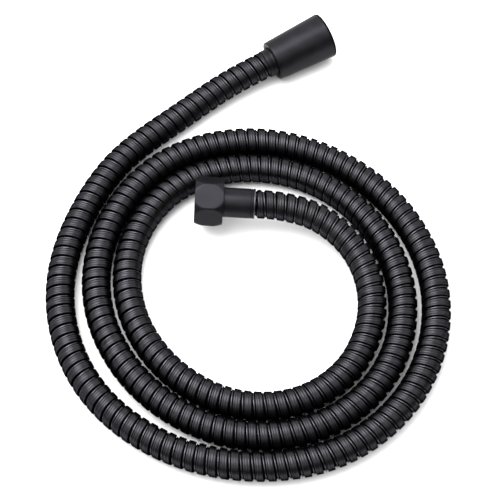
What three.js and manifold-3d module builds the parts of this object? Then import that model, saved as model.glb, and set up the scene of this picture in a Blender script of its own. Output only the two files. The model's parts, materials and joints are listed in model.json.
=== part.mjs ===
// A strip-wound metal shower hose lying loosely coiled on a flat surface.
// One end has a hexagon union nut, for the water supply. The other has a conical nut, for a hand shower.
// Millimetres, +Z up. The origin is on the surface, under the middle of the hose's bounding box.
import * as THREE from 'three';
import { mergeVertices } from 'three/addons/utils/BufferGeometryUtils.js';
import Module from 'manifold-3d';

const wasm = await Module();
wasm.setup();

// Hose
const HOSE_RADIUS = 7.35; // over the crowns of the steel strip
const HOSE_BORE_RADIUS = 6.65; // keeps the mass near that of the thin wound strip
const TUBE_RADIUS = 5.1; // rubber tube inside
const TUBE_BORE_RADIUS = 4.0;
const HOSE_SIDES = 12;
const TUBE_SIDES = 8;
const HOSE_STEPS = 80;
const GAP = 0.3; // between pieces that touch

// Where the hose lies: the middle of its turns, and how high its axis is where it rests on the surface
const COIL_X = 0.8;
const COIL_Y = -34.05;
const RESTING = HOSE_RADIUS;

// Each end fitting points out along its mouth: a compass angle from +X, and a rise above level
const HANDSET_MOUTH = [41.1, 151.7, 12.5];
const HANDSET_ANGLE = 28.4;
const HANDSET_RISE = 3.1;
const SUPPLY_MOUTH = [-27.9, 47.85, 19.25];
const SUPPLY_ANGLE = 177.7;
const SUPPLY_RISE = 3.0;

// Both union nuts take a G 1/2 pipe thread
const THREAD_MINOR = 9.32;
const THREAD_MAJOR = 10.4;
const THREAD_PITCH = 1.814;
const THREAD_TURNS = 4;
const NUT_BORE = 8.0; // slides over the ferrule and the hose
const INSIDE_NUT = 9.0; // radius of the pieces that lie inside a nut
const WATERWAY = 2.9;
const SEAL_BORE = 5.2;

// Ferrules
const FERRULE_RADIUS = 7.6;
const FERRULE_BORE = 7.1;
const FERRULE_LIP_BORE = 6.2;

// Hexagon nut
const HEX_ACROSS_FLATS = 22.5;
const HEX_LENGTH = 14.5;
const HEX_ROLL = 14.2; // how far the nut is turned about its axis
const HEX_CHAMFER = 2.7; // along the nut, at its corners, at both ends
const HEX_CHAMFER_DEPTH = 1.0;
const SUPPLY_LENGTH = 31.2; // mouth to the end of the ferrule

// Conical nut
const CONE_MOUTH_RADIUS = 12.45;
const CONE_TAIL_RADIUS = 10.65;
const CONE_LENGTH = 33.0;
const HANDSET_LENGTH = 37.4;

const LATHE_SEGMENTS = 24;
const DEG = Math.PI / 180;

const blackMetal = { color: 0x2b2b2e, roughness: 0.42, metalness: 0.75 };
const brass = { color: 0xb08d4a, roughness: 0.35, metalness: 0.95 };
const rubber = { color: 0x17171a, roughness: 0.8, metalness: 0 };
const whitePlastic = { color: 0xe8e6df, roughness: 0.5, metalness: 0 };
const steel = { color: 0xa9abae, roughness: 0.3, metalness: 1 };

const hose = new THREE.Group();

function addPiece(parent, name, geometry, finish) {
  const mesh = new THREE.Mesh(geometry, new THREE.MeshStandardMaterial(finish));
  mesh.name = name;
  parent.add(mesh);
}

// A turned piece about local Y. A profile point is [radius, distance back from the mouth].
function turned(profile, segments = LATHE_SEGMENTS) {
  const outline = profile.map(([radius, back]) => new THREE.Vector2(radius, -back));
  if (THREE.ShapeUtils.area(outline) < 0) outline.reverse();
  outline.push(outline[0].clone());
  return closed(new THREE.LatheGeometry(outline, segments));
}

function closed(geometry) {
  geometry.deleteAttribute('normal');
  geometry.deleteAttribute('uv');
  const merged = mergeVertices(geometry, 1e-4);
  merged.computeVertexNormals();
  return merged;
}

function toSolid(geometry) {
  const plain = geometry.clone();
  plain.deleteAttribute('normal');
  plain.deleteAttribute('uv');
  const merged = mergeVertices(plain, 1e-4);
  const vertProperties = new Float32Array(merged.attributes.position.array);
  const triVerts = new Uint32Array(merged.index.array);
  return new wasm.Manifold(new wasm.Mesh({ numProp: 3, vertProperties, triVerts }));
}

function toGeometry(solid) {
  const mesh = solid.getMesh();
  const geometry = new THREE.BufferGeometry();
  geometry.setAttribute('position', new THREE.BufferAttribute(new Float32Array(mesh.vertProperties), 3));
  geometry.setIndex(new THREE.BufferAttribute(new Uint32Array(mesh.triVerts), 1));
  geometry.computeVertexNormals();
  return geometry;
}

// The inside of a nut from its mouth to its shoulder, as profile points running inwards
function threadProfile() {
  const points = [[THREAD_MAJOR + 0.1, 0], [THREAD_MINOR, 1.0]];
  for (let turn = 0; turn < THREAD_TURNS; turn += 1) {
    const start = 1.1 + turn * THREAD_PITCH;
    points.push([THREAD_MINOR, start]);
    points.push([THREAD_MAJOR, start + 0.45 * THREAD_PITCH]);
    points.push([THREAD_MAJOR, start + 0.55 * THREAD_PITCH]);
  }
  points.push([THREAD_MINOR, 1.1 + THREAD_TURNS * THREAD_PITCH]);
  return points;
}

// Teeth that hold a rubber tube: from the tip at `end` back towards `start`, as outline points
function barbProfile(start, end, count) {
  const crest = TUBE_BORE_RADIUS - GAP - 0.05;
  const root = crest - 0.3;
  const points = [];
  const step = (end - start) / count;
  for (let tooth = 0; tooth < count; tooth += 1) {
    points.push([crest, start + tooth * step + 0.2]);
    points.push([root, start + (tooth + 1) * step]);
  }
  return points;
}

function flatRing(inner, outer, from, to) {
  return turned([[inner, from], [outer, from], [outer, to], [inner, to]]);
}

// A sealing washer with softened edges
function sealWasher(from, to) {
  const soft = 0.3;
  return turned([
    [SEAL_BORE, from], [INSIDE_NUT - soft, from], [INSIDE_NUT, from + soft],
    [INSIDE_NUT, to - soft], [INSIDE_NUT - soft, to], [SEAL_BORE, to],
  ]);
}

// The sleeve that clamps the end of the steel hose: two fine turned rings, and a lip turned in at its end
function ferrule(from, to) {
  const ring = FERRULE_RADIUS - 0.2;
  return turned([
    [FERRULE_BORE, from], [FERRULE_RADIUS - 0.2, from], [FERRULE_RADIUS, from + 0.3],
    [FERRULE_RADIUS, to - 3.0], [ring, to - 2.8], [FERRULE_RADIUS, to - 2.6],
    [FERRULE_RADIUS, to - 2.1], [ring, to - 1.9], [FERRULE_RADIUS, to - 1.7],
    [FERRULE_RADIUS, to - 0.4], [FERRULE_RADIUS - 0.4, to],
    [FERRULE_LIP_BORE, to], [FERRULE_LIP_BORE, to - 0.7], [FERRULE_BORE, to - 0.7],
  ]);
}

function hexagonNut() {
  const corner = HEX_ACROSS_FLATS / Math.sqrt(3);
  const outline = new THREE.Shape();
  for (let k = 0; k < 6; k += 1) {
    const angle = (HEX_ROLL + 60 * k) * DEG;
    const x = corner * Math.cos(angle);
    const y = corner * Math.sin(angle);
    if (k === 0) outline.moveTo(x, y);
    else outline.lineTo(x, y);
  }
  const bar = new THREE.ExtrudeGeometry(outline, { depth: HEX_LENGTH + 4, bevelEnabled: false });
  bar.rotateX(Math.PI / 2);
  bar.translate(0, 2, 0);
  const clear = 0.1; // how far the cutting cones run on past the corners
  const chamfer = HEX_CHAMFER * (1 + clear / HEX_CHAMFER_DEPTH);
  const envelope = turned([
    [0, 0], [corner - HEX_CHAMFER_DEPTH, 0], [corner + clear, chamfer],
    [corner + clear, HEX_LENGTH - chamfer], [corner - HEX_CHAMFER_DEPTH, HEX_LENGTH], [0, HEX_LENGTH],
  ], 36);
  const shoulder = 12.1;
  const inside = turned([
    [0, -2], [THREAD_MAJOR + 0.1, -2], ...threadProfile(),
    [THREAD_MINOR, shoulder], [NUT_BORE, shoulder], [NUT_BORE, HEX_LENGTH + 2], [0, HEX_LENGTH + 2],
  ]);
  const blank = toSolid(bar).intersect(toSolid(envelope));
  return toGeometry(blank.subtract(toSolid(inside)));
}

function conicalNut() {
  const shoulder = 12.9;
  const rim = 0.7;
  const tail = 0.4;
  const slope = (CONE_MOUTH_RADIUS - CONE_TAIL_RADIUS) / CONE_LENGTH;
  return turned([
    ...threadProfile(),
    [THREAD_MINOR, shoulder], [NUT_BORE, shoulder], [NUT_BORE, CONE_LENGTH],
    [CONE_TAIL_RADIUS - tail, CONE_LENGTH], [CONE_TAIL_RADIUS, CONE_LENGTH - tail],
    [CONE_MOUTH_RADIUS - slope * rim, rim], [CONE_MOUTH_RADIUS - rim, 0],
  ], 32);
}

// Brass tail of the supply end: a flange that the nut pulls on, a neck, and a barbed stem in the tube
function supplyCore() {
  const neck = FERRULE_BORE - GAP - 0.1;
  return turned([
    [WATERWAY, 8.5], [INSIDE_NUT - 0.3, 8.5], [INSIDE_NUT, 8.8], [INSIDE_NUT, 10.5],
    [neck, 10.5], [neck, 16.5], [3.4, 17.0], ...barbProfile(17.4, 29.4, 5), [WATERWAY, 29.4],
  ]);
}

// Body of the handset end's swivel: a socket for the turning stem, and a barbed stem in the tube
function swivelTail() {
  const socket = 5.6;
  const neck = FERRULE_BORE - GAP - 0.1;
  return turned([
    [socket, 12.5], [7.1, 12.5], [7.3, 12.7], [7.3, 21.6], [neck, 21.6],
    [neck, 25.0], [3.4, 25.5], ...barbProfile(25.9, 35.9, 4), [WATERWAY, 35.9],
    [WATERWAY, 23.0], [socket, 23.0], [socket, 21.5], [6.3, 21.5], [6.3, 20.1], [socket, 20.1],
  ]);
}

// The turning stem: a flange under the washer, and a spigot with grooves for two O-rings and a clip
function swivelStem() {
  const spigot = 5.2;
  const seat = 3.95;
  return turned([
    [3.1, 8.9], [INSIDE_NUT - 0.3, 8.9], [INSIDE_NUT, 9.2], [INSIDE_NUT, 11.1],
    [spigot, 11.1], [spigot, 13.5], [seat, 13.5], [seat, 15.3], [spigot, 15.3],
    [spigot, 16.5], [seat, 16.5], [seat, 18.3], [spigot, 18.3],
    [spigot, 20.1], [4.3, 20.1], [4.3, 21.5], [spigot, 21.5], [spigot - 0.3, 22.5], [3.1, 22.5],
  ]);
}

function oRing(middle) {
  const geometry = new THREE.TorusGeometry(4.78, 0.5, 6, 20);
  geometry.rotateX(Math.PI / 2);
  geometry.translate(0, -middle, 0);
  return closed(geometry);
}

// A split spring ring that keeps the stem in its socket
function springClip(from, to) {
  const outline = new THREE.Shape();
  const opening = 0.35;
  outline.absarc(0, 0, 6.0, opening, 2 * Math.PI - opening, false);
  outline.absarc(0, 0, 4.65, 2 * Math.PI - opening, opening, true);
  const geometry = new THREE.ExtrudeGeometry(outline, { depth: to - from, bevelEnabled: false, curveSegments: 24 });
  geometry.rotateX(Math.PI / 2);
  geometry.translate(0, -from, 0);
  return closed(geometry);
}

// A unit vector out of a fitting's mouth
function outOf(angle, rise) {
  return new THREE.Vector3(
    Math.cos(rise * DEG) * Math.cos(angle * DEG),
    Math.cos(rise * DEG) * Math.sin(angle * DEG),
    Math.sin(rise * DEG),
  );
}

// A group whose origin is the middle of the mouth, with local Y pointing out of it and local Z nearest up
function fitting(mouth, angle, rise) {
  const group = new THREE.Group();
  const out = outOf(angle, rise);
  const up = new THREE.Vector3(0, 0, 1).addScaledVector(out, -out.z).normalize();
  const across = new THREE.Vector3().crossVectors(out, up);
  group.quaternion.setFromRotationMatrix(new THREE.Matrix4().makeBasis(across, out, up));
  group.position.set(mouth[0] + COIL_X, mouth[1] + COIL_Y, mouth[2]);
  hose.add(group);
  return group;
}

const supply = fitting(SUPPLY_MOUTH, SUPPLY_ANGLE, SUPPLY_RISE);
addPiece(supply, 'supply_nut', hexagonNut(), blackMetal);
addPiece(supply, 'supply_washer', sealWasher(6.2, 8.2), rubber);
addPiece(supply, 'supply_core', supplyCore(), brass);
addPiece(supply, 'supply_slip_ring', flatRing(7.8, INSIDE_NUT, 10.8, 11.8), whitePlastic);
addPiece(supply, 'supply_crimp_ring', flatRing(TUBE_RADIUS + GAP, 6.5, 19.5, 28.5), steel);
addPiece(supply, 'supply_ferrule', ferrule(10.8, SUPPLY_LENGTH), blackMetal);

const handset = fitting(HANDSET_MOUTH, HANDSET_ANGLE, HANDSET_RISE);
addPiece(handset, 'handset_nut', conicalNut(), blackMetal);
addPiece(handset, 'handset_washer', sealWasher(6.6, 8.6), rubber);
addPiece(handset, 'handset_swivel_stem', swivelStem(), brass);
addPiece(handset, 'handset_bearing_ring', flatRing(5.6, 7.0, 11.4, 12.2), whitePlastic);
addPiece(handset, 'handset_slip_ring', flatRing(7.8, INSIDE_NUT, 11.4, 12.6), whitePlastic);
addPiece(handset, 'handset_o_ring_front', oRing(14.4), rubber);
addPiece(handset, 'handset_o_ring_rear', oRing(17.4), rubber);
addPiece(handset, 'handset_spring_clip', springClip(20.4, 21.2), steel);
addPiece(handset, 'handset_swivel_tail', swivelTail(), brass);
addPiece(handset, 'handset_crimp_ring', flatRing(TUBE_RADIUS + GAP, 6.5, 27.5, 35.0), steel);
addPiece(handset, 'handset_ferrule', ferrule(22.0, HANDSET_LENGTH), blackMetal);

// The hose's route, from the middle of its turns. First it runs straight back from the handset fitting.
function behind(mouth, angle, rise, distance) {
  const point = new THREE.Vector3(...mouth);
  return point.addScaledVector(outOf(angle, rise), -distance).toArray();
}

const handsetLead = [
  behind(HANDSET_MOUTH, HANDSET_ANGLE, HANDSET_RISE, HANDSET_LENGTH + GAP),
  behind(HANDSET_MOUTH, HANDSET_ANGLE, HANDSET_RISE, HANDSET_LENGTH + GAP + 12),
  [-14.3, 121.0, 8.8],
  [-25.9, 112.5, 7.8],
  [-38.0, 102.9, RESTING],
];

// Then it goes round: the radius of the hose's axis at every 30 degrees, from 120 degrees on.
// The turns stop one step before the end of the list, where the last lead takes over.
const TURN_START = 120;
const TURN_STEP = 30;
const TURN_RADII = [
  105, 97.7, 95.2, 91.8, 87.8, 87.3, 91.3, 93.8, 93.2, 90.2, 88.2, 88.2,
  87.4, 82.3, 76.7, 71.6, 70, 72.4, 75.9, 77.8, 76.4, 74, 72.8, 72.5,
  72.3, 67.2, 60.8, 56, 55, 57.5, 60.6, 62.1, 61.6,
];
const POINTS_PER_STEP = 3;
const POINT_ANGLE = (TURN_STEP / POINTS_PER_STEP) * DEG;
const PULL_IN = (2 + Math.cos(POINT_ANGLE)) / 3; // the curve runs inside its points by this factor

// A smooth curve through four values, between the two in the middle
function smooth(before, from, to, after, t) {
  const bend = 2 * before - 5 * from + 4 * to - after;
  const twist = 3 * from - before - 3 * to + after;
  return from + 0.5 * t * (to - before + t * (bend + t * twist));
}

const turns = [];
for (let k = 0; k < (TURN_RADII.length - 2) * POINTS_PER_STEP + 1; k += 1) {
  const step = Math.floor(k / POINTS_PER_STEP);
  const [before, from, to, after] = [-1, 0, 1, 2].map(
    (j) => TURN_RADII[Math.min(Math.max(step + j, 0), TURN_RADII.length - 1)],
  );
  const radius = smooth(before, from, to, after, k / POINTS_PER_STEP - step) / PULL_IN;
  const angle = TURN_START * DEG + k * POINT_ANGLE;
  turns.push([radius * Math.cos(angle), radius * Math.sin(angle), RESTING]);
}

// Last it rises in a long low hump, because the supply fitting lies against the second turn
const supplyLead = [
  [60.3, -16.2, 7.6],
  [61.8, -1.0, 8.5],
  [58.8, 14.0, 10.1],
  [51.8, 26.7, 12.0],
  [41.4, 36.7, 13.9],
  [29.2, 43.2, 15.6],
  behind(SUPPLY_MOUTH, SUPPLY_ANGLE, SUPPLY_RISE, SUPPLY_LENGTH + GAP + 10),
  behind(SUPPLY_MOUTH, SUPPLY_ANGLE, SUPPLY_RISE, SUPPLY_LENGTH + GAP),
];

// A cubic B-spline: a curve of smooth curvature that starts and ends at its first and last point
class SmoothRoute extends THREE.Curve {
  constructor(points) {
    super();
    const last = points.length - 1;
    const start = points[0].clone().multiplyScalar(2).sub(points[1]);
    const end = points[last].clone().multiplyScalar(2).sub(points[last - 1]);
    this.points = [start, ...points, end];
    this.arcLengthDivisions = 2000;
  }

  getPoint(t, target = new THREE.Vector3()) {
    const spans = this.points.length - 3;
    const span = Math.min(Math.floor(t * spans), spans - 1);
    const u = t * spans - span;
    const weights = [(1 - u) ** 3, 3 * u ** 3 - 6 * u ** 2 + 4, 1 + 3 * u + 3 * u ** 2 - 3 * u ** 3, u ** 3];
    target.set(0, 0, 0);
    weights.forEach((weight, j) => target.addScaledVector(this.points[span + j], weight / 6));
    return target;
  }
}

function tubeAlong(points, outer, inner, sides) {
  const section = new THREE.Shape();
  const bore = new THREE.Path();
  for (let k = 0; k <= sides; k += 1) {
    const angle = ((k + 0.5) * 2 * Math.PI) / sides;
    const [c, s] = [Math.cos(angle), Math.sin(angle)];
    if (k === 0) section.moveTo(outer * c, outer * s);
    else section.lineTo(outer * c, outer * s);
    if (k === 0) bore.moveTo(inner * c, inner * s);
    else bore.lineTo(inner * c, inner * s);
  }
  section.holes.push(bore);
  const placed = points.map(([x, y, z]) => new THREE.Vector3(x + COIL_X, y + COIL_Y, z));
  const extrudePath = new SmoothRoute(placed);
  return closed(new THREE.ExtrudeGeometry(section, { steps: HOSE_STEPS, bevelEnabled: false, extrudePath }));
}

const route = [...handsetLead, ...turns, ...supplyLead];

// The rubber tube reaches past the steel hose at both ends, over the barbed stems
const tubeRoute = [
  behind(HANDSET_MOUTH, HANDSET_ANGLE, HANDSET_RISE, 26.2),
  ...route,
  behind(SUPPLY_MOUTH, SUPPLY_ANGLE, SUPPLY_RISE, 17.6),
];

addPiece(hose, 'outer_hose', tubeAlong(route, HOSE_RADIUS, HOSE_BORE_RADIUS, HOSE_SIDES), blackMetal);
addPiece(hose, 'inner_tube', tubeAlong(tubeRoute, TUBE_RADIUS, TUBE_BORE_RADIUS, TUBE_SIDES), rubber);

hose.updateMatrixWorld(true);

export default hose;
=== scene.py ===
"""A strip-wound metal shower hose lying in loose turns, with a hexagon union nut and a conical one.

Metres, in the frame of the CAD part. Profiles of turned pieces and of the strip are in millimetres, and MM
brings them to metres.
"""
import json
import math

import bmesh
import bpy
import numpy as np
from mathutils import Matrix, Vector


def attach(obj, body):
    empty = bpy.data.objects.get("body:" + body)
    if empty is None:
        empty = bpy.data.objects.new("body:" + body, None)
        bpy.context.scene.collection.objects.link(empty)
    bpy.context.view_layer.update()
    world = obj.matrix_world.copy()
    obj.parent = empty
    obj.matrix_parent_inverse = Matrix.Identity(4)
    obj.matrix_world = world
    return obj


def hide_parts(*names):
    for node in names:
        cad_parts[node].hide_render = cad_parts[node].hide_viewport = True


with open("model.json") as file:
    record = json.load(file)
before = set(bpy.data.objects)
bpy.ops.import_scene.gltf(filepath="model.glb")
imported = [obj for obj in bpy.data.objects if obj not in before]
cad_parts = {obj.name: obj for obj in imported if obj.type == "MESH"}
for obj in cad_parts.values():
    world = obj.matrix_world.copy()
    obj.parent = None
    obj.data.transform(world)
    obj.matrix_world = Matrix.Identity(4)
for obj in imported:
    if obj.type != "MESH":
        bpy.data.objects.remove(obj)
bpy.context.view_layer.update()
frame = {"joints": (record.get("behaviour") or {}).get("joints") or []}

MM = 0.001
JOINTS = {joint["name"]: joint for joint in frame["joints"]}

# The middle of the hose's turns, and its size
COIL = np.array([0.0008, -0.03405, 0.0])
HOSE_RADIUS = 0.00735
RESTING = HOSE_RADIUS  # height of the centre line where the hose lies on the floor
STRIP_PITCH = 0.0054
TUBE_RADIUS = 0.0051
TUBE_BORE_RADIUS = 0.0040

# Fittings, in millimetres. Lengths along a fitting run back from the mouth of its nut.
SUPPLY_LENGTH = 31.2
HANDSET_LENGTH = 37.4
SUPPLY_SHOULDER = 12.1  # the shoulder inside the nut, which pulls on the slip ring
HANDSET_SHOULDER = 12.9
SUPPLY_TUBE_END = 17.6  # where the rubber tube ends on the barbed stem
HANDSET_TUBE_END = 26.2
SUPPLY_STRAIGHT = 10  # the hose leaves the ferrule straight for this far
HANDSET_STRAIGHT = 12
GAP = 0.3  # between the ferrules' ends and the hose, and between the rubber tube and the crimp rings
THREAD_MINOR = 9.32  # radii of the thread's crests and roots
THREAD_MAJOR = 10.4
THREAD_PITCH = 1.814
THREAD_TURNS = 4.3
NUT_BORE = 8.0
INSIDE_NUT = 9.0
WATERWAY = 2.9
SEAL_BORE = 5.2
FERRULE_RADIUS = 7.6
SHADOW_GAP = 0.6  # between the supply ferrule's edge and the first full ring of the hose
HEX_ACROSS_FLATS = 22.5
HEX_LENGTH = 14.5
HEX_ROLL = 14.2  # degrees from the across direction to the first corner
HEX_ROUNDING = 1.2  # radius of the corners
HEX_BARREL = 7.0  # the corners are turned down over this length at each end
HEX_BARREL_DEPTH = 1.5  # and by this much at the end itself
CONE_MOUTH_RADIUS = 12.45
CONE_TAIL_RADIUS = 10.65
CONE_LENGTH = 33.0
BAND_WIDTH = 1.1  # a band round the cone's mouth, in a darker, rougher copy of the coating: painted shade
BAND_STEP = 0.14  # how far the band lies below the cone's surface
BARB_CREST = 3.65


# ---------------------------------------------------------------- camera, light and floor

CAMERA_TARGET = Vector((0.0009, -0.00515, 0.0))
CAMERA_DISTANCE = 0.721
CAMERA_ELEVATION = math.radians(65.5)
SENSOR_WIDTH = 36.0
LENS = 100.8

KEY_LIGHT_PLACE = Vector((-0.22, 0.13, 0.66))
KEY_LIGHT_SIZE = 0.60
KEY_LIGHT_POWER = 9.0
BRIGHT_SIDE = (-0.35, 0.9, 1.0)  # where the tent is brightest
FLOOR_HALF_WIDTH = 8.0


def add_camera():
    data = bpy.data.cameras.new("camera")
    data.sensor_width = SENSOR_WIDTH
    data.lens = LENS
    data.clip_start = 0.01
    camera = bpy.data.objects.new("camera", data)
    bpy.context.collection.objects.link(camera)
    back = Vector((0.0, -math.cos(CAMERA_ELEVATION), math.sin(CAMERA_ELEVATION)))
    camera.location = CAMERA_TARGET + back * CAMERA_DISTANCE
    camera.rotation_euler = (math.radians(90) - CAMERA_ELEVATION, 0.0, 0.0)
    bpy.context.scene.camera = camera


def add_key_light():
    """A softbox above the coil, turned to the middle of the frame."""
    data = bpy.data.lights.new("key_light", "AREA")
    data.shape = "RECTANGLE"
    data.size = KEY_LIGHT_SIZE
    data.size_y = KEY_LIGHT_SIZE
    data.energy = KEY_LIGHT_POWER
    light = bpy.data.objects.new("key_light", data)
    bpy.context.collection.objects.link(light)
    light.location = KEY_LIGHT_PLACE
    light.rotation_euler = (-KEY_LIGHT_PLACE).to_track_quat("-Z", "Y").to_euler()


def add_world():
    """A light tent: bright overhead, behind and at the left, dark in front, pale at the horizon."""
    world = bpy.data.worlds.new("tent")
    world.use_nodes = True
    tree = world.node_tree
    direction = add_node(tree, "ShaderNodeTexCoord").outputs["Generated"]
    facing = add_node(tree, "ShaderNodeVectorMath", {0: direction, 1: BRIGHT_SIDE}, operation="DOT_PRODUCT")
    tent = eased(tree, facing.outputs["Value"], (-0.22, 0.60), (0.22, 2.3))
    height = add_node(tree, "ShaderNodeSeparateXYZ", {"Vector": direction}).outputs["Z"]
    horizon = eased(tree, height, (0.05, 0.13), (1.1, 0.0))
    brighter = add_node(tree, "ShaderNodeMath", {0: tent, 1: horizon}, operation="MAXIMUM")
    background = tree.nodes["Background"]
    background.inputs["Color"].default_value = (1.0, 1.0, 1.0, 1.0)
    tree.links.new(brighter.outputs["Value"], background.inputs["Strength"])
    bpy.context.scene.world = world


def add_studio():
    bpy.context.scene.view_settings.view_transform = "Standard"
    add_world()
    add_key_light()


def add_floor():
    half = FLOOR_HALF_WIDTH
    corners = [(-half, -half, 0), (half, -half, 0), (half, half, 0), (-half, half, 0)]
    mesh = bpy.data.meshes.new("floor")
    mesh.from_pydata(corners, [], [(0, 1, 2, 3)])
    floor = bpy.data.objects.new("floor", mesh)
    bpy.context.collection.objects.link(floor)
    material = bpy.data.materials.new("floor")
    material.use_nodes = True
    shader = material.node_tree.nodes["Principled BSDF"]
    shader.inputs["Base Color"].default_value = (0.85, 0.85, 0.85, 1.0)
    shader.inputs["Roughness"].default_value = 0.9
    shader.inputs["Specular IOR Level"].default_value = 0.1
    mesh.materials.append(material)


# ---------------------------------------------------------------- the hose's route


class Fitting:
    """Where an end fitting is: its mouth, the way out of it, the way nearest up, and the way across."""

    def __init__(self, joint):
        self.mouth = np.array(joint["pos_m"], float)
        self.out = np.array(joint["axis"], float)
        self.out /= np.linalg.norm(self.out)
        up = np.array([0.0, 0.0, 1.0]) - self.out * self.out[2]
        self.up = up / np.linalg.norm(up)
        self.across = np.cross(self.out, self.up)

    def behind(self, back_mm):
        return self.mouth - self.out * back_mm * MM

    def place(self, points_mm):
        """Points (across, back, up) in millimetres, brought to the frame."""
        p = np.asarray(points_mm, float) * MM
        return self.mouth + p[:, :1] * self.across - p[:, 1:2] * self.out + p[:, 2:3] * self.up


supply = Fitting(JOINTS["supply_nut_turn"])
handset = Fitting(JOINTS["handset_nut_turn"])

# The hose's centre line, measured from COIL: the lead from the handset end, the radius at every step of the
# turns, and the lead up to the supply end
HANDSET_LEAD = [(-0.0143, 0.1210, 0.0088), (-0.0259, 0.1125, 0.0078), (-0.0380, 0.1029, RESTING)]
TURN_START = math.radians(120)
TURN_STEP = math.radians(30)
TURN_RADII = [
    0.1050, 0.0977, 0.0952, 0.0918, 0.0878, 0.0873, 0.0913, 0.0938, 0.0932, 0.0902, 0.0882, 0.0882,
    0.0874, 0.0823, 0.0767, 0.0716, 0.0700, 0.0724, 0.0759, 0.0778, 0.0764, 0.0740, 0.0728, 0.0725,
    0.0723, 0.0672, 0.0608, 0.0560, 0.0550, 0.0575, 0.0606, 0.0621, 0.0616,
]
POINTS_PER_STEP = 3
POINT_ANGLE = TURN_STEP / POINTS_PER_STEP
PULL_IN = (2 + math.cos(POINT_ANGLE)) / 3  # how much smaller than its points a B-spline turns
SUPPLY_LEAD = [
    (0.0603, -0.0162, 0.0076),
    (0.0618, -0.0010, 0.0085),
    (0.0588, 0.0140, 0.0101),
    (0.0518, 0.0267, 0.0120),
    (0.0414, 0.0367, 0.0139),
    (0.0292, 0.0432, 0.0156),
]


def smooth(before, start, end, after, t):
    """A smooth curve through four values, between the two in the middle."""
    bend = 2 * before - 5 * start + 4 * end - after
    twist = 3 * start - before - 3 * end + after
    return start + 0.5 * t * (end - before + t * (bend + t * twist))


def turn_points():
    points = []
    last = len(TURN_RADII) - 1
    for k in range((last - 1) * POINTS_PER_STEP + 1):
        step = k // POINTS_PER_STEP
        around = [TURN_RADII[min(max(step + j, 0), last)] for j in (-1, 0, 1, 2)]
        radius = smooth(*around, k / POINTS_PER_STEP - step) / PULL_IN
        angle = TURN_START + k * POINT_ANGLE
        points.append((radius * math.cos(angle), radius * math.sin(angle), RESTING))
    return points


def spline(points, per_span):
    """The cubic B-spline of the points, from the first to the last."""
    points = np.asarray(points, float)
    ends = 2 * points[[0, -1]] - points[[1, -2]]
    points = np.vstack([ends[:1], points, ends[1:]])
    u = np.arange(per_span)[:, None] / per_span
    second, third = 3 * u**3 - 6 * u**2 + 4, 1 + 3 * u + 3 * u**2 - 3 * u**3
    weights = np.stack([(1 - u) ** 3, second, third, u**3]) / 6
    spans = [sum(weights[j] * points[i + j] for j in range(4)) for i in range(len(points) - 3)]
    return np.vstack([*spans, points[-2:-1]])


class Line:
    """A smooth line that gives its place and its frame at any distance along it."""

    def __init__(self, points, step=0.0005):
        far = np.r_[0, np.cumsum(np.linalg.norm(np.diff(points, axis=0), axis=1))]
        self.length = far[-1]
        self.count = int(self.length / step)
        self.far = np.linspace(0, self.length, self.count)
        self.points = np.stack([np.interp(self.far, far, points[:, i]) for i in range(3)], 1)
        along = np.gradient(self.points, self.far, axis=0)
        self.along = along / np.linalg.norm(along, axis=1)[:, None]
        side = np.cross([0, 0, 1.0], self.along[0])
        sides = []
        for direction in self.along:
            side = side - direction * (side @ direction)
            side = side / np.linalg.norm(side)
            sides.append(side)
        self.side = np.array(sides)

    def at(self, distance):
        """Place, direction and two directions across, at distances that may run past the ends."""
        inside = np.clip(distance, 0, self.length)
        place, along, side = (
            np.stack([np.interp(inside, self.far, field[:, i]) for i in range(3)], 1)
            for field in (self.points, self.along, self.side)
        )
        along /= np.linalg.norm(along, axis=1)[:, None]
        side -= along * np.sum(side * along, axis=1)[:, None]
        side /= np.linalg.norm(side, axis=1)[:, None]
        place = place + along * (distance - inside)[:, None]
        return place, along, side, np.cross(along, side)


def hose_route():
    start, end = HANDSET_LENGTH + GAP, SUPPLY_LENGTH + GAP
    lead_in = [handset.behind(start), handset.behind(start + HANDSET_STRAIGHT)]
    lead_out = [supply.behind(end + SUPPLY_STRAIGHT), supply.behind(end)]
    middle = [COIL + point for point in [*HANDSET_LEAD, *turn_points(), *SUPPLY_LEAD]]
    return [*lead_in, *middle, *lead_out]


# ---------------------------------------------------------------- making pieces


def add_piece(name, points, faces, node, body, materials):
    mesh = bpy.data.meshes.new(name)
    mesh.from_pydata([tuple(p) for p in points], [], faces)
    work = bmesh.new()
    work.from_mesh(mesh)
    bmesh.ops.recalc_face_normals(work, faces=work.faces)
    work.to_mesh(mesh)
    work.free()
    mesh.shade_smooth()
    mesh.set_sharp_from_angle(angle=math.radians(40))
    piece = bpy.data.objects.new(name, mesh)
    bpy.context.collection.objects.link(piece)
    for material in materials:
        mesh.materials.append(material)
    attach(piece, body)
    if node:
        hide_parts(node)
    return piece


def ring_faces(rows, columns, closed_rows=True):
    """Quads between rows of points that each go round once."""
    faces = []
    for i in range(rows if closed_rows else rows - 1):
        for j in range(columns):
            a, b = i * columns, (i + 1) % rows * columns
            k = (j + 1) % columns
            faces.append((a + j, a + k, b + k, b + j))
    return faces


def softened(profile, radius, steps=3):
    """A closed outline with its corners rounded, as far as the edges beside each one allow."""
    points = [np.array(p, float) for p in profile]
    out = []
    for i, corner in enumerate(points):
        before, after = points[i - 1] - corner, points[(i + 1) % len(points)] - corner
        lengths = np.linalg.norm(before), np.linalg.norm(after)
        before, after = before / lengths[0], after / lengths[1]
        turn = math.pi - math.acos(np.clip(before @ after, -1, 1))
        if turn < math.radians(12):
            out.append(corner)
            continue
        cut = min(radius * math.tan(turn / 2), 0.45 * min(lengths))
        for k in range(steps + 1):
            t = k / steps
            a, b = corner + before * cut, corner + after * cut
            out.append((1 - t) ** 2 * a + 2 * t * (1 - t) * corner + t**2 * b)
    return out


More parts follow.
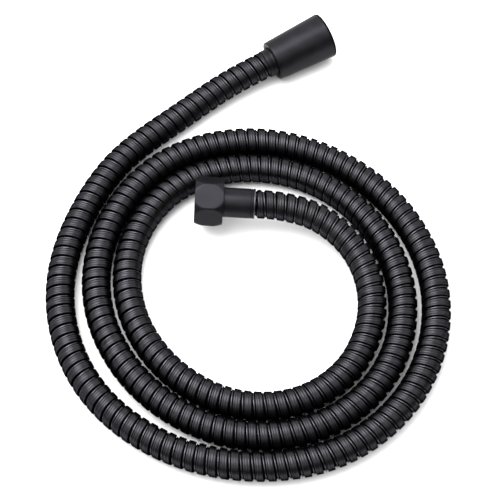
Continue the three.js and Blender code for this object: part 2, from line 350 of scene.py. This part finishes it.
def turned_points(fitting, profile, segments):
    angles = np.arange(segments) * 2 * math.pi / segments
    x, z = np.cos(angles), np.sin(angles)
    rows = [np.stack([r * x, np.full(segments, back), r * z], 1) for r, back in profile]
    return fitting.place(np.vstack(rows))


def add_turned(name, fitting, profile, body, materials, soft=0.12, segments=96):
    """A turned piece of the CAD node's name. A profile point is [radius, distance back from the mouth]."""
    outline = softened(profile, soft)
    points = turned_points(fitting, outline, segments)
    faces = ring_faces(len(outline), segments)
    return add_piece(f"{name}_fine", points, faces, name, body, materials)


# ---------------------------------------------------------------- materials


def new_material(name):
    material = bpy.data.materials.new(name)
    material.use_nodes = True
    tree = material.node_tree
    return material, tree, tree.nodes["Principled BSDF"]


def add_node(tree, kind, inputs=(), **settings):
    node = tree.nodes.new(kind)
    for key, value in settings.items():
        setattr(node, key, value)
    for key, value in dict(inputs).items():
        if isinstance(value, bpy.types.NodeSocket):
            tree.links.new(value, node.inputs[key])
        else:
            node.inputs[key].default_value = value
    return node


def mapped(tree, value, source, target, **settings):
    """The value, with the source range brought to the target range."""
    ranges = {"From Min": source[0], "From Max": source[1], "To Min": target[0], "To Max": target[1]}
    return add_node(tree, "ShaderNodeMapRange", {"Value": value, **ranges}, **settings).outputs["Result"]


def eased(tree, value, source, target):
    return mapped(tree, value, source, target, interpolation_type="SMOOTHSTEP")


def noise(tree, place, scale, detail):
    inputs = {"Vector": place, "Scale": scale, "Detail": detail}
    return add_node(tree, "ShaderNodeTexNoise", inputs).outputs["Fac"]


def grain(tree, scale, detail=3.0):
    return noise(tree, add_node(tree, "ShaderNodeTexCoord").outputs["Object"], scale, detail)


def streaks(tree, place, stretch):
    scaled = add_node(tree, "ShaderNodeMapping", {"Vector": place, "Scale": stretch})
    return noise(tree, scaled.outputs["Vector"], 1.0, 2.0)


def spread_over(tree, noisy, low, high):
    """Noise, which is mostly near its middle, spread over the whole of a range."""
    return mapped(tree, noisy, (0.3, 0.7), (low, high))


def two_colours(tree, value, first, second):
    node = add_node(tree, "ShaderNodeMix", data_type="RGBA")
    tree.links.new(value, node.inputs["Factor"])
    node.inputs["A"].default_value = (*first, 1.0)
    node.inputs["B"].default_value = (*second, 1.0)
    return node.outputs["Result"]


def finish_material(tree, shader, colour, roughness, height, depth):
    bump = add_node(tree, "ShaderNodeBump", {"Height": height, "Distance": depth, "Strength": 0.6})
    tree.links.new(colour, shader.inputs["Base Color"])
    tree.links.new(roughness, shader.inputs["Roughness"])
    tree.links.new(bump.outputs["Normal"], shader.inputs["Normal"])


def coated(name, dark, light, rough_low, rough_high):
    """Black coating on metal, thin enough to shine like metal: a fine tooth, and soft blotches of gloss."""
    material, tree, shader = new_material(name)
    blotches = grain(tree, 140.0)
    tooth = grain(tree, 5200.0, 2.0)
    colour = two_colours(tree, spread_over(tree, blotches, 0.0, 1.0), dark, light)
    roughness = spread_over(tree, blotches, rough_low, rough_high)
    finish_material(tree, shader, colour, roughness, tooth, 0.00002)
    shader.inputs["Metallic"].default_value = 0.85
    shader.inputs["Specular IOR Level"].default_value = 0.2
    shader.inputs["Specular Tint"].default_value = (0.55, 0.55, 0.55, 1.0)
    return material


def coated_strip(name, dark, light, rough_low, rough_high):
    """The same coating on rolled strip, with streaks that follow the `strip` attribute, in millimetres."""
    material, tree, shader = new_material(name)
    place = add_node(tree, "ShaderNodeAttribute", attribute_name="strip").outputs["Vector"]
    long_streaks = streaks(tree, place, (0.12, 2.2, 1.0))
    fine_streaks = streaks(tree, place, (0.5, 7.0, 1.0))
    colour = two_colours(tree, spread_over(tree, long_streaks, 0.0, 1.0), dark, light)
    roughness = spread_over(tree, fine_streaks, rough_low, rough_high)
    finish_material(tree, shader, colour, roughness, fine_streaks, 0.00003)
    shader.inputs["Metallic"].default_value = 1.0
    shader.inputs["Specular Tint"].default_value = (0.33, 0.33, 0.33, 1.0)
    return material


def bare_metal(name, dark, light, rough_low, rough_high):
    material, tree, shader = new_material(name)
    blotches = grain(tree, 260.0)
    lines = grain(tree, 2600.0, 2.0)
    colour = two_colours(tree, spread_over(tree, blotches, 0.0, 1.0), dark, light)
    roughness = spread_over(tree, lines, rough_low, rough_high)
    finish_material(tree, shader, colour, roughness, lines, 0.00001)
    shader.inputs["Metallic"].default_value = 1.0
    return material


def soft_material(name, dark, light, rough_low, rough_high, scale):
    material, tree, shader = new_material(name)
    blotches = grain(tree, 220.0)
    fine = grain(tree, scale, 4.0)
    colour = two_colours(tree, spread_over(tree, blotches, 0.0, 1.0), dark, light)
    roughness = spread_over(tree, blotches, rough_low, rough_high)
    finish_material(tree, shader, colour, roughness, fine, 0.00004)
    return material


# ---------------------------------------------------------------- the wound steel strip

# Section of the strip: millimetres along the hose from the crown's start, and radius. A low bead, the crown
# with fine rolled lines, and a tail that tucks in under the next turn's bead.
STRIP_SECTION = [
    (-1.12, 6.11), (-1.10, 6.37), (-0.99, 6.54), (-0.74, 6.61), (-0.49, 6.54), (-0.38, 6.37),
    (-0.34, 6.23), (-0.04, 6.23), (0.00, 6.35), (0.03, 7.09), (0.18, 7.29), (0.40, 7.35),
    (1.00, 7.35), (1.14, 7.28), (1.28, 7.35), (2.36, 7.35), (2.50, 7.28), (2.64, 7.35),
    (3.25, 7.35), (3.47, 7.29), (3.61, 7.11), (3.65, 6.55), (3.63, 5.87),
    (5.00, 5.85), (5.00, 5.67), (3.43, 5.69), (3.37, 7.03), (0.26, 7.03), (0.20, 6.05),
]
# The section's faces with the plain coating, and the bead's faces, which get a smoother copy of the coating
# made lighter as painted highlight. All the others get a darker, rougher copy as painted shade in the grooves
# and under the turns.
CROWN = range(9, 20)
BEAD = range(0, 5)
STRIP_SIDES = 28  # to a turn
STRIP_OVERRUN = 0.003  # how far the strip reaches into each ferrule
SQUEEZED_TO = 5.2  # the radius that the strip is squeezed towards at its ends, just clear of the rubber tube
IN_HANDSET_FERRULE = 0.85  # how much of its height above that radius the strip keeps in each ferrule
IN_SUPPLY_FERRULE = 0.5


def wind_strip(line, materials):
    """The strip wound along the line. Materials: plain coating, a lighter copy as painted highlight on the
    bead, and a darker copy as painted shade in the grooves.
    """
    turns = (line.length + 2 * STRIP_OVERRUN) / STRIP_PITCH
    rows = int(turns * STRIP_SIDES)
    angle = np.arange(rows) * 2 * math.pi / STRIP_SIDES
    distance = angle * STRIP_PITCH / (2 * math.pi) - STRIP_OVERRUN
    centre, along, side, across = line.at(distance)
    radial = np.cos(angle)[:, None] * side + np.sin(angle)[:, None] * across
    columns = []
    for a, r in STRIP_SECTION:
        far = distance + a * MM
        kept = np.where(far < 0, IN_HANDSET_FERRULE, np.where(far > line.length, IN_SUPPLY_FERRULE, 1.0))
        radius = SQUEEZED_TO + (r - SQUEEZED_TO) * kept
        columns.append(centre + (a * MM) * along + (radius * MM)[:, None] * radial)
    points = np.stack(columns, 1).reshape(-1, 3)
    n = len(STRIP_SECTION)
    faces = ring_faces(rows, n, closed_rows=False)
    faces.append(tuple(range(n)))
    faces.append(tuple(range((rows - 1) * n, rows * n)))
    strip = add_piece("hose_strip", points, faces, "outer_hose", "hose", materials)
    wound = np.repeat(angle * HOSE_RADIUS / MM, n)
    across_strip = np.tile([a for a, _ in STRIP_SECTION], rows)
    marks = strip.data.attributes.new("strip", "FLOAT_VECTOR", "POINT")
    marks.data.foreach_set("vector", np.stack([wound, across_strip, 0 * wound], 1).ravel())
    for face in strip.data.polygons:
        column = face.index % n if face.index < (rows - 1) * n else -1
        # Plain coating on the crown, painted highlight on the bead, painted shade on all the other faces.
        face.material_index = 0 if column in CROWN else 1 if column in BEAD else 2
    return strip


# ---------------------------------------------------------------- nuts, ferrules and what is inside them


def thread_rows(angles, start, end):
    """Inside radii of a right-handed thread, row by row from the mouth inwards, shallow at both ends."""
    rows = []
    for back in np.arange(start, end, THREAD_PITCH / 10):
        phase = (back / THREAD_PITCH - angles / (2 * math.pi)) % 1
        depth = np.clip((1 - np.abs(2 * phase - 1) - 0.12) / 0.76, 0, 1)
        depth = depth * min(1.0, (back - start) / 0.7, (end - back) / 0.9)
        rows.append((THREAD_MINOR + (THREAD_MAJOR - THREAD_MINOR) * depth, back))
    return rows


def add_nut(name, fitting, outside, shoulder, angles, body, materials):
    """A union nut: its outside as rows of radii from mouth to rear, then back through bore and thread."""
    thread_end = 1.0 + THREAD_TURNS * THREAD_PITCH
    rear = outside[-1][1]
    relief = THREAD_MINOR + 0.5
    inside = [
        (NUT_BORE + 0.35, rear), (NUT_BORE, rear - 0.35),
        (NUT_BORE, shoulder + 0.2), (NUT_BORE + 0.2, shoulder),
        (relief - 0.2, shoulder), (relief, shoulder - 0.2),
        (relief, thread_end + 0.4), (THREAD_MINOR, thread_end),
    ]
    mouth = [(THREAD_MINOR, 1.0), (THREAD_MAJOR + 0.1, 0.05), (THREAD_MAJOR + 0.35, 0.0)]
    rows = [*outside, *inside, *reversed(thread_rows(angles, 1.1, thread_end - 0.1)), *mouth]
    points = []
    for radius, back in rows:
        radius = np.broadcast_to(radius, angles.shape)
        back = np.broadcast_to(back, angles.shape)
        points.append(np.stack([radius * np.cos(angles), back, radius * np.sin(angles)], 1))
    points = fitting.place(np.vstack(points))
    faces = ring_faces(len(rows), len(angles))
    return add_piece(f"{name}_fine", points, faces, name, body, materials)


def rounded_hexagon(beside):
    """Radius of a hexagon with rounded corners, at an angle beside the middle of a flat."""
    flat = HEX_ACROSS_FLATS / 2
    corner_angle = math.radians(30)
    middle = (flat - HEX_ROUNDING) / math.cos(corner_angle)
    straight_end = math.atan((flat - HEX_ROUNDING) * math.tan(corner_angle) / flat)
    from_corner = corner_angle - np.abs(beside)
    arc = np.sqrt(np.clip(HEX_ROUNDING**2 - (middle * np.sin(from_corner)) ** 2, 0, None))
    rounded = middle * np.cos(from_corner) + arc
    return np.where(np.abs(beside) < straight_end, flat / np.cos(beside), rounded)


def add_hexagon_nut(materials):
    corner_steps = np.linspace(25.4, 30, 7)
    steps = np.concatenate([-corner_steps[::-1], np.linspace(-23, 23, 14), corner_steps[:-1]])
    angles = np.radians(np.concatenate([HEX_ROLL + 30 + 60 * k + steps for k in range(6)]))
    side = rounded_hexagon(np.radians(np.tile(steps, 6)))
    corner = HEX_ACROSS_FLATS / 2 / math.cos(math.radians(30))
    near = [(np.minimum(side, corner - HEX_BARREL_DEPTH) - 0.25, 0.0)]
    for back in (0.12, 0.4, 0.8, 1.2, 1.7, 2.2, 2.8, 3.4, 4.1, 4.8, 5.8, HEX_BARREL):
        barrel = corner - HEX_BARREL_DEPTH * (1 - back / HEX_BARREL) ** 2
        near.append((np.minimum(side, barrel), back))
    far = [(radius, HEX_LENGTH - back) for radius, back in reversed(near)]
    outside = [*near, (side, HEX_LENGTH / 2), *far]
    add_nut("supply_nut", supply, outside, SUPPLY_SHOULDER, angles, "supply_nut", materials)


def add_conical_nut(materials):
    """The nut, with a band of the second material round its mouth: a darker, rougher copy of the coating, as
    painted shade.
    """
    angles = np.arange(144) * 2 * math.pi / 144
    slope = (CONE_MOUTH_RADIUS - CONE_TAIL_RADIUS) / CONE_LENGTH
    chamfer = 0.4
    low = CONE_MOUTH_RADIUS - BAND_STEP
    edge = CONE_MOUTH_RADIUS - slope * BAND_WIDTH
    band = [
        (low - 0.35, 0.0), (low - 0.3, 0.03), (low - 0.03, 0.3), (low, 0.36),
        (edge - BAND_STEP, BAND_WIDTH - 0.02), (edge - 0.08, BAND_WIDTH), (edge, BAND_WIDTH + 0.08),
    ]
    side = [(CONE_MOUTH_RADIUS - slope * back, back) for back in np.linspace(3.0, CONE_LENGTH - 2, 8)]
    tail = [
        (CONE_TAIL_RADIUS + slope, CONE_LENGTH - 1.0), (CONE_TAIL_RADIUS, CONE_LENGTH - chamfer - 0.06),
        (CONE_TAIL_RADIUS - 0.05, CONE_LENGTH - chamfer + 0.06), (CONE_TAIL_RADIUS - chamfer, CONE_LENGTH),
    ]
    outside = [*band, *side, *tail]
    nut = add_nut("handset_nut", handset, outside, HANDSET_SHOULDER, angles, "handset_nut", materials)
    band_faces = (len(band) - 1) * len(angles)
    # The band's faces get the second material, the painted shade.
    for face in nut.data.polygons:
        face.material_index = int(face.index < band_faces)


def add_ferrule(name, fitting, start, end, edge, materials):
    """A sleeve crimped over the hose, with two fine turned rings. The hose goes in at its edge."""
    outer, ring, mouth, neck = FERRULE_RADIUS, FERRULE_RADIUS - 0.22, 7.2, 6.75
    profile = [
        (neck, start), (outer - 0.2, start), (outer, start + 0.3),
        (outer, end - 3.0), (ring, end - 2.8), (outer, end - 2.6),
        (outer, end - 2.1), (ring, end - 1.9), (outer, end - 1.7),
        (outer, edge - 0.12), (outer - 0.12, edge), (mouth, edge), (mouth, end - 6.0), (neck, end - 6.4),
    ]
    add_turned(name, fitting, profile, "hose", materials, soft=0.06)


def add_painted_highlight_ring(materials):
    """A narrow ring near the end of the supply ferrule, in a lighter, smoother copy of the coating: a painted
    highlight.
    """
    back = SUPPLY_LENGTH - SHADOW_GAP - 0.35
    outer, inner = FERRULE_RADIUS + 0.03, FERRULE_RADIUS - 0.22
    segments = 96
    profile = [(inner, back - 0.16), (outer, back - 0.14), (outer, back + 0.14), (inner, back + 0.16)]
    outline = softened(profile, 0.06)
    points = turned_points(supply, outline, segments)
    faces = ring_faces(len(outline), segments)
    add_piece("supply_ferrule_painted_highlight_ring", points, faces, None, "hose", materials)


def add_washer(name, fitting, start, end, body, materials):
    """A flat seal with a shallow groove round the middle of each face."""
    middle = (SEAL_BORE + INSIDE_NUT) / 2
    profile = [
        (SEAL_BORE, start), (middle - 0.3, start), (middle, start + 0.12), (middle + 0.3, start),
        (INSIDE_NUT, start), (INSIDE_NUT, end),
        (middle + 0.3, end), (middle, end - 0.12), (middle - 0.3, end), (SEAL_BORE, end),
    ]
    add_turned(name, fitting, profile, body, materials, soft=0.2)


def barbs(start, end, count):
    """Teeth that hold the rubber tube."""
    step = (end - start) / count
    points = []
    for tooth in range(count):
        points += [(BARB_CREST, start + tooth * step + 0.2), (BARB_CREST - 0.3, start + (tooth + 1) * step)]
    return points


def add_supply_core(materials):
    neck = 6.7
    profile = [
        (WATERWAY, 8.5), (INSIDE_NUT, 8.5), (INSIDE_NUT, 10.5),
        (neck, 10.5), (neck, 12.0), (neck - 0.2, 12.2), (neck - 0.2, 12.8), (neck, 13.0), (neck, 16.5),
        (3.4, 17.0), *barbs(17.4, 29.4, 5), (WATERWAY, 29.4),
    ]
    add_turned("supply_core", supply, profile, "hose", materials)


def add_swivel(materials):
    """The tail, with a groove for the spring clip in its socket, and the stem, with two for O-rings."""
    socket, outer, neck = 5.6, 7.3, 6.7
    tail = [
        (socket, 12.5), (outer, 12.5), (outer, 16.0), (outer - 0.15, 16.2), (outer - 0.15, 16.8),
        (outer, 17.0), (outer, 21.6), (neck, 21.6), (neck, 25.0),
        (3.4, 25.5), *barbs(25.9, 35.9, 4), (WATERWAY, 35.9),
        (WATERWAY, 23.0), (socket, 23.0), (socket, 21.5), (6.3, 21.5), (6.3, 20.1), (socket, 20.1),
    ]
    add_turned("handset_swivel_tail", handset, tail, "hose", materials)
    spigot, seat = 5.2, 3.95
    stem = [
        (3.1, 8.9), (INSIDE_NUT, 8.9), (INSIDE_NUT, 11.1), (spigot, 11.1), (spigot, 13.5), (seat, 13.5),
        (seat, 15.3), (spigot, 15.3), (spigot, 16.5), (seat, 16.5), (seat, 18.3), (spigot, 18.3),
        (spigot, 20.1), (4.3, 20.1), (4.3, 21.5), (spigot, 21.5), (spigot - 0.3, 22.5), (3.1, 22.5),
    ]
    add_turned("handset_swivel_stem", handset, stem, "handset_stem", materials)


def add_o_ring(name, middle, materials):
    ring_radius, cord_radius = 4.78, 0.5
    around = np.arange(20) * 2 * math.pi / 20
    profile = [(ring_radius + cord_radius * math.cos(t), middle + cord_radius * math.sin(t)) for t in around]
    add_turned(name, handset, profile, "handset_stem", materials, soft=0.0)


def add_plain_ring(name, fitting, inner, outer, start, end, body, materials):
    profile = [(inner, start), (outer, start), (outer, end), (inner, end)]
    add_turned(name, fitting, profile, body, materials, soft=0.15)


def add_crimp_ring(name, fitting, start, end, materials):
    """A steel ring with rolled beads where it was squeezed on the tube."""
    inner, outer = TUBE_RADIUS / MM + GAP, 6.5
    profile = [(inner, start), (outer, start)]
    beads = 4
    step = (end - start) / beads
    for k in range(1, beads):
        back = start + k * step
        profile += [(outer, back - 0.4), (outer - 0.22, back), (outer, back + 0.4)]
    profile += [(outer, end), (inner, end)]
    add_turned(name, fitting, profile, "hose", materials, soft=0.1)


def add_spring_clip(materials):
    """A flat spring ring, open at one side, with a rounded end at each side of the opening."""
    start, inner, outer = 20.4, 4.65, 6.0
    opening = 0.35  # radians, to each side of its middle
    count = 96
    angles = np.linspace(opening, 2 * math.pi - opening, count)
    near_end = np.minimum(angles - opening, 2 * math.pi - opening - angles)
    narrow = np.sqrt(np.clip(near_end / 0.12, 0.02, 1))
    middle, half = (inner + outer) / 2, (outer - inner) / 2 * narrow
    section = [(-1, 0.08), (-0.9, 0.0), (0.9, 0.0), (1, 0.08), (1, 0.72), (0.9, 0.8), (-0.9, 0.8), (-1, 0.72)]
    rows = []
    for angle, half_width in zip(angles, half):
        for side, depth in section:
            radius = middle + side * half_width
            rows.append((radius * math.cos(angle), start + depth, radius * math.sin(angle)))
    n = len(section)
    faces = ring_faces(count, n, closed_rows=False)
    faces += [tuple(range(n)), tuple(range((count - 1) * n, count * n))]
    name = "handset_spring_clip"
    add_piece(f"{name}_fine", handset.place(rows), faces, name, "hose", materials)


def add_inner_tube(materials):
    """The rubber tube, from barb to barb."""
    route = [handset.behind(HANDSET_TUBE_END), *hose_route(), supply.behind(SUPPLY_TUBE_END)]
    tube = Line(spline(route, 24))
    centre, _, side, across = tube.at(np.linspace(0, tube.length, 480))
    angles = (np.arange(20) * 2 * math.pi / 20)[None, :, None]
    radial = np.cos(angles) * side[:, None] + np.sin(angles) * across[:, None]
    outside = centre[:, None] + TUBE_RADIUS * radial
    bore = centre[:, None] + TUBE_BORE_RADIUS * radial
    points = np.vstack([outside, bore[::-1]]).reshape(-1, 3)
    faces = ring_faces(2 * len(centre), angles.size)
    add_piece("inner_tube_fine", points, faces, "inner_tube", "hose", materials)


# ---------------------------------------------------------------- building

add_camera()

black_strip = coated_strip("strip_coating", (0.0118, 0.0116, 0.0131), (0.0325, 0.0318, 0.0360), 0.24, 0.38)
# A darker, rougher copy of the strip coating: painted shade for the grooves and under the turns.
painted_shade_strip = coated_strip("strip_painted_shade", (0.0010, 0.0010, 0.0011), (0.0035, 0.0034, 0.0038), 0.55, 0.75)
# A lighter, smoother copy of the strip coating: painted highlight for the bead.
painted_highlight_strip = coated_strip("strip_painted_highlight", (0.026, 0.0255, 0.0288), (0.058, 0.057, 0.0645), 0.22, 0.34)
fitting_coat = coated("fitting_coating", (0.0125, 0.0121, 0.0142), (0.0163, 0.0157, 0.0185), 0.33, 0.41)
# A lighter, smoother copy of the fitting coating: painted highlight for the ring near the supply ferrule's
# end.
painted_highlight_coat = coated("ferrule_ring_painted_highlight", (0.09, 0.09, 0.094), (0.135, 0.135, 0.14), 0.14, 0.22)
# A darker, rougher copy of the fitting coating: painted shade for the band round the cone nut's mouth.
painted_shade_coat = coated("painted_shade_band", (0.0010, 0.0010, 0.0011), (0.0030, 0.0029, 0.0033), 0.55, 0.70)
brass = bare_metal("turned_brass", (0.60, 0.42, 0.18), (0.74, 0.55, 0.27), 0.18, 0.32)
steel = bare_metal("plain_steel", (0.50, 0.50, 0.51), (0.64, 0.64, 0.65), 0.20, 0.34)
seal_rubber = soft_material("seal_rubber", (0.010, 0.010, 0.010), (0.020, 0.020, 0.020), 0.55, 0.75, 2400.0)
tube_rubber = soft_material("tube_rubber", (0.020, 0.020, 0.021), (0.032, 0.032, 0.033), 0.40, 0.55, 3000.0)
acetal = soft_material("acetal", (0.80, 0.79, 0.74), (0.86, 0.85, 0.81), 0.32, 0.45, 3600.0)

line = Line(spline(hose_route(), 40))
strip = wind_strip(line, [black_strip, painted_highlight_strip, painted_shade_strip])
cord_path = line.at(np.linspace(0, line.length, 500))[0]
add_inner_tube([tube_rubber])

add_hexagon_nut([fitting_coat])
add_washer("supply_washer", supply, 6.2, 8.2, "hose", [seal_rubber])
add_supply_core([brass])
add_plain_ring(
    "supply_slip_ring", supply, 7.8, INSIDE_NUT, 10.8, 11.8, "supply_nut_carrier", [acetal]
)
add_crimp_ring("supply_crimp_ring", supply, 19.5, 28.5, [steel])
add_ferrule("supply_ferrule", supply, 10.8, SUPPLY_LENGTH, SUPPLY_LENGTH - SHADOW_GAP, [fitting_coat])
add_painted_highlight_ring([painted_highlight_coat])

add_conical_nut([fitting_coat, painted_shade_coat])
add_washer("handset_washer", handset, 6.6, 8.6, "handset_stem", [seal_rubber])
add_swivel([brass])
add_plain_ring("handset_bearing_ring", handset, 5.6, 7.0, 11.4, 12.2, "hose", [acetal])
add_plain_ring(
    "handset_slip_ring", handset, 7.8, INSIDE_NUT, 11.4, 12.6, "handset_nut_carrier", [acetal]
)
add_o_ring("handset_o_ring_front", 14.4, [seal_rubber])
add_o_ring("handset_o_ring_rear", 17.4, [seal_rubber])
add_spring_clip([steel])
add_crimp_ring("handset_crimp_ring", handset, 27.5, 35.0, [steel])
add_ferrule("handset_ferrule", handset, 22.0, HANDSET_LENGTH, HANDSET_LENGTH, [fitting_coat])

add_studio()
add_floor()
